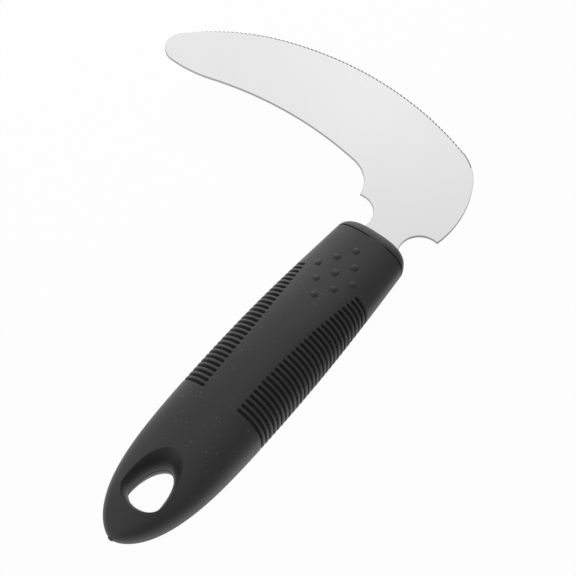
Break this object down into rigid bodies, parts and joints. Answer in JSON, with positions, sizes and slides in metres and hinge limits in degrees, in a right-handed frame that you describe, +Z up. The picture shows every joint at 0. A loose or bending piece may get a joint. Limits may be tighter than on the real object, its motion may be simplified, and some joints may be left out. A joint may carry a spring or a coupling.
{
  "type": "rocker knife",
  "caption": "Rocker knife with a curved, finely toothed blade set across the end of a thick, soft, ribbed grip that has a hang hole at its butt.",
  "frame": {"origin": "middle of the underside of the knife's bounding box, lying with the blade level", "axes": "+X along the handle from butt to blade, +Y toward the long end of the blade, +Z up"},
  "size_m": [0.1756, 0.119, 0.0244],
  "materials": {
    "blade_steel": "satin, nearly white under soft light",
    "grip_rubber": "matt charcoal black with a faint sheen",
    "collar_plastic": "matt charcoal black",
    "core_plastic": "plain moulded grey",
    "pin_steel": "plain drawn steel"
  },
  "bodies": {
    "root": {"blade": "blade_steel", "grip_sleeve": "grip_rubber", "front_collar": "collar_plastic", "core_upper_half": "core_plastic", "core_lower_half": "core_plastic", "tang_pin_front": "pin_steel", "tang_pin_rear": "pin_steel"}
  },
  "joints": []
}
